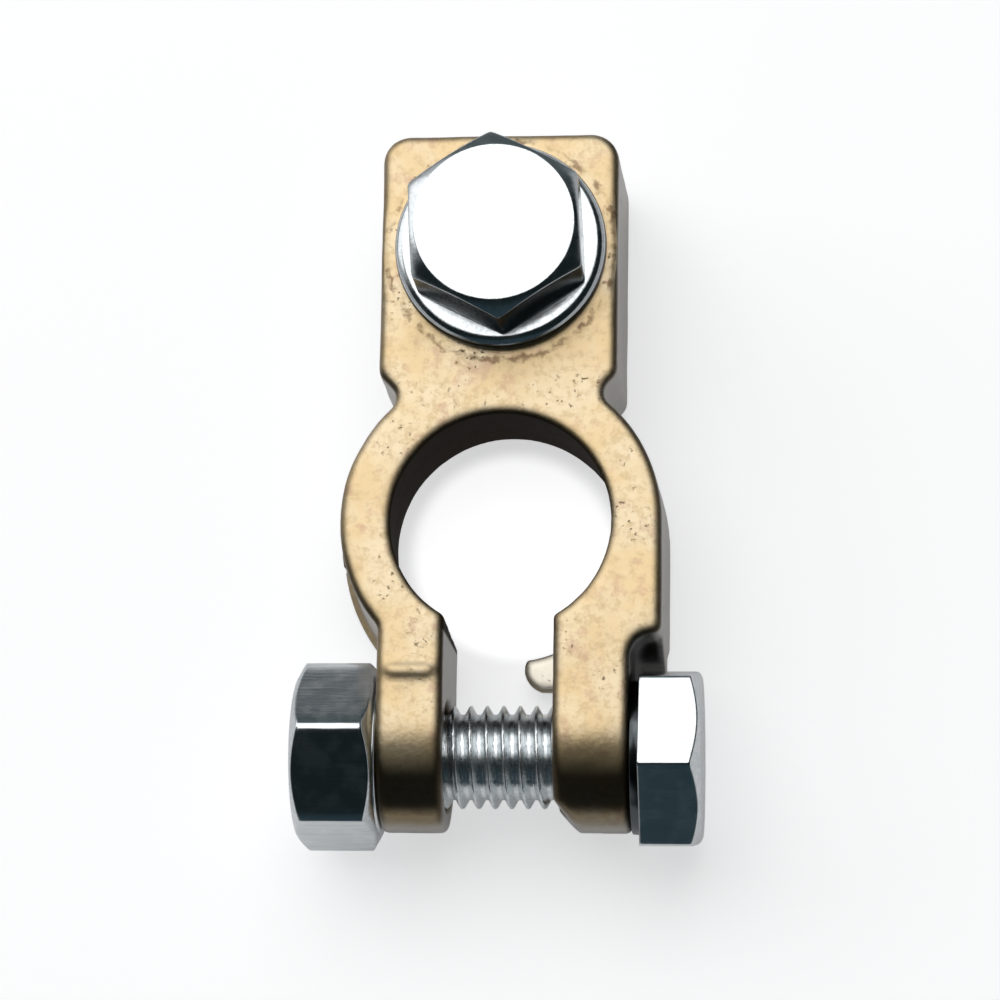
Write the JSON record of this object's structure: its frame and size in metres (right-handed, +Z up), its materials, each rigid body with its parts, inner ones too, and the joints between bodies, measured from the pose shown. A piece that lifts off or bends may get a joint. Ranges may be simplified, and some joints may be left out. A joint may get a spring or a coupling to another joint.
{
  "type": "battery terminal clamp",
  "caption": "Split-ring clamp that grips a battery post, drawn tight by a bolt and nut through its ears, with a tab that takes a cable eye under a bolt and washer.",
  "frame": {"origin": "on the axis of the post bore, level with the underside of the casting", "axes": "+Z up along the battery post, +Y towards the end of the cable tab, +X towards the head of the clamp bolt"},
  "size_m": [0.0307, 0.0549, 0.0203],
  "materials": {
    "cast_brass": "tumbled casting with a soft sheen, darker on the side walls",
    "plated_steel": "bright zinc plating with light streaks and mottling"
  },
  "bodies": {
    "clamp": {"clamp_body": "cast_brass"},
    "clamp_bolt": {"clamp_bolt": "plated_steel"},
    "clamp_nut": {"clamp_nut": "plated_steel"},
    "cable_washer": {"cable_washer": "plated_steel"},
    "cable_bolt": {"cable_bolt": "plated_steel"}
  },
  "joints": [
    {"name": "clamp_bolt_turn", "type": "hinge", "parent": "clamp", "child": "clamp_bolt", "pos_m": [0.00984, -0.0172, 0.00575], "axis": [1, 0, 0], "range_deg": [0, 1080]},
    {"name": "clamp_nut_travel", "type": "slide", "parent": "clamp", "child": "clamp_nut", "axis": [-1, 0, 0], "range_m": [0, 0.00376]},
    {"name": "cable_washer_lift", "type": "slide", "parent": "clamp", "child": "cable_washer", "axis": [0, 0, 1], "range_m": [0, 0.00501]},
    {"name": "cable_bolt_turn", "type": "hinge", "parent": "cable_washer", "child": "cable_bolt", "pos_m": [-0.00015, 0.0212, 0.01345], "axis": [0, 0, 1], "range_deg": [0, 1440]}
  ],
  "couplings": [
    {"joint": "clamp_nut_travel", "follows": "clamp_bolt_turn", "m_per_rad": 0.00019894},
    {"joint": "cable_washer_lift", "follows": "cable_bolt_turn", "m_per_rad": 0.00019894}
  ]
}
